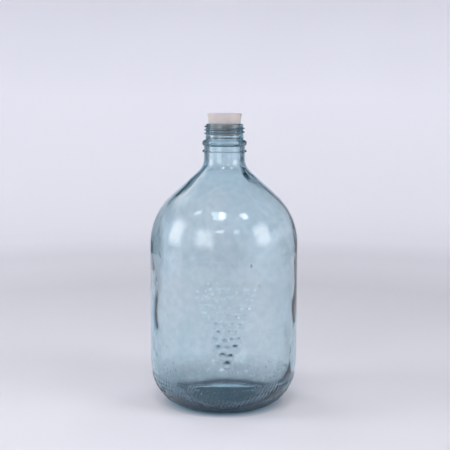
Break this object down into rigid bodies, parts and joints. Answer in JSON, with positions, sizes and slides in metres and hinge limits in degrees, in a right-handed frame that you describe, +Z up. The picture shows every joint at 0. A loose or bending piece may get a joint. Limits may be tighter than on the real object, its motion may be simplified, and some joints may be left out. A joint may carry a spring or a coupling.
{
  "type": "glass carboy",
  "caption": "Round glass carboy for home brewing and winemaking, with a screw-thread neck closed by a tapered silicone stopper.",
  "frame": {"origin": "centre of the base, on the plane that the vessel stands on", "axes": "+Z up along the vessel's axis; -Y faces the front, where the grape relief is; +X to the right seen from the front"},
  "size_m": [0.175, 0.1763, 0.3455],
  "materials": {
    "glass": "polished",
    "silicone": "satin"
  },
  "bodies": {
    "vessel": {"glass_vessel": "glass"},
    "stopper": {"stopper": "silicone"}
  },
  "joints": [
    {"name": "stopper_lift", "type": "slide", "parent": "vessel", "child": "stopper", "axis": [0, 0, 1], "range_m": [0, 0.06]}
  ]
}
